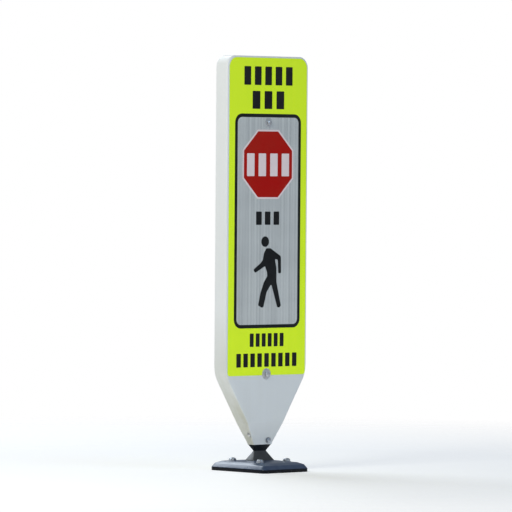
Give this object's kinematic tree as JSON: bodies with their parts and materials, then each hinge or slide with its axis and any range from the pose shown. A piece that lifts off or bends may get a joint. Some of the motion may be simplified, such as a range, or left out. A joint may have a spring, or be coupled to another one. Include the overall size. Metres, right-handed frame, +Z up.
{
  "type": "flexible in-road crossing sign",
  "caption": "Upright two-sided crossing sign: flat hollow body tapering to a neck on a black rubber hinge that folds to either side, held by a low bolted base.",
  "frame": {"origin": "bottom centre of the base, on the road surface", "axes": "+Z up, front face towards -Y, X across the sign"},
  "size_m": [0.316, 0.229, 1.187],
  "materials": {
    "base_black": "black gloss coating over cast iron, lightly weathered",
    "zinc_steel": "zinc-plated steel",
    "anchor_steel": "dark zinc-plated steel with a worn shine",
    "hinge_rubber": "moulded black rubber, satin",
    "insert_plastic": "moulded black plastic",
    "body_plastic": "white moulded plastic, satin and slightly weathered",
    "panel_aluminium": "thin flat aluminium",
    "lime_film": "fluorescent yellow-green prismatic retroreflective film",
    "silver_film": "white prismatic retroreflective film, grey by day",
    "white_film": "white retroreflective film",
    "black_film": "opaque black film",
    "red_film": "translucent red over retroreflective film"
  },
  "bodies": {
    "base": {"base": "base_black", "keeper_plate": "zinc_steel", "keeper_screws": "zinc_steel", "anchor_bolts": "anchor_steel", "anchor_washers": "anchor_steel", "hinge_foot": "hinge_rubber", "hinge_foot_plate": "zinc_steel", "hinge_web": "hinge_rubber"},
    "sign": {"hinge_head": "hinge_rubber", "hinge_core": "zinc_steel", "neck_insert": "insert_plastic", "neck_bolt": "anchor_steel", "neck_washers": "anchor_steel", "neck_nut": "anchor_steel", "side_screws": "zinc_steel", "body_shell": "body_plastic", "spacer_tubes": "zinc_steel", "face_bolts": "zinc_steel", "face_washers": "zinc_steel", "face_nuts": "zinc_steel", "front_panel": "panel_aluminium", "front_sheeting": "lime_film", "front_inset": "silver_film", "front_border": "black_film", "front_blocks": "black_film", "front_octagon_edge": "white_film", "front_octagon": "red_film", "front_octagon_blocks": "white_film", "front_walker": "black_film", "back_panel": "panel_aluminium", "back_sheeting": "lime_film", "back_inset": "silver_film", "back_border": "black_film", "back_blocks": "black_film", "back_octagon_edge": "white_film", "back_octagon": "red_film", "back_octagon_blocks": "white_film", "back_walker": "black_film"}
  },
  "joints": [
    {"name": "hinge_flex", "type": "hinge", "parent": "base", "child": "sign", "pos_m": [0, 0, 0.058], "axis": [1, 0, 0], "range_deg": [-85, 85], "stiffness_Nm_per_rad": 90, "deforming": ["hinge_web"]}
  ]
}
